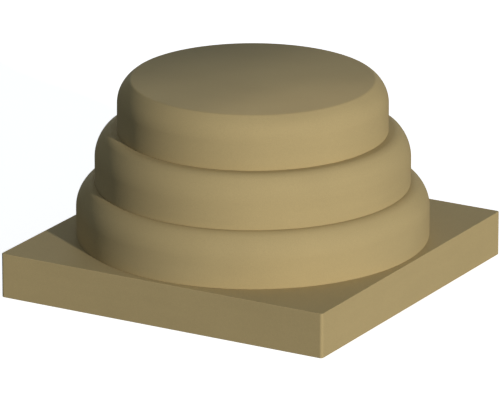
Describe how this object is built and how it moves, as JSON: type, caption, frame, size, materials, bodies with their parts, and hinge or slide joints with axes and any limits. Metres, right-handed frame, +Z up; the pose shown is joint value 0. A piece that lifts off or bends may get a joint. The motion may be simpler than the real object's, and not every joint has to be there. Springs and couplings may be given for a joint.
{
  "type": "column base",
  "caption": "Round stepped stone column base: a square plinth under round courses with rounded shoulders, stacked in diminishing sizes, with a flat bed on top for a round shaft.",
  "frame": {"origin": "centre of the plinth's underside, on the ground", "axes": "+Z up along the column's axis, X and Y square to the plinth's sides, -Y the front"},
  "size_m": [0.6, 0.6, 0.339],
  "materials": {
    "plinth_stone": "matt rubbed sandstone",
    "lower_course_stone": "matt rubbed sandstone",
    "middle_course_stone": "matt rubbed sandstone",
    "upper_course_stone": "matt rubbed sandstone"
  },
  "bodies": {
    "root": {"plinth": "plinth_stone", "lower_course": "lower_course_stone", "middle_course": "middle_course_stone", "upper_course": "upper_course_stone"}
  },
  "joints": []
}
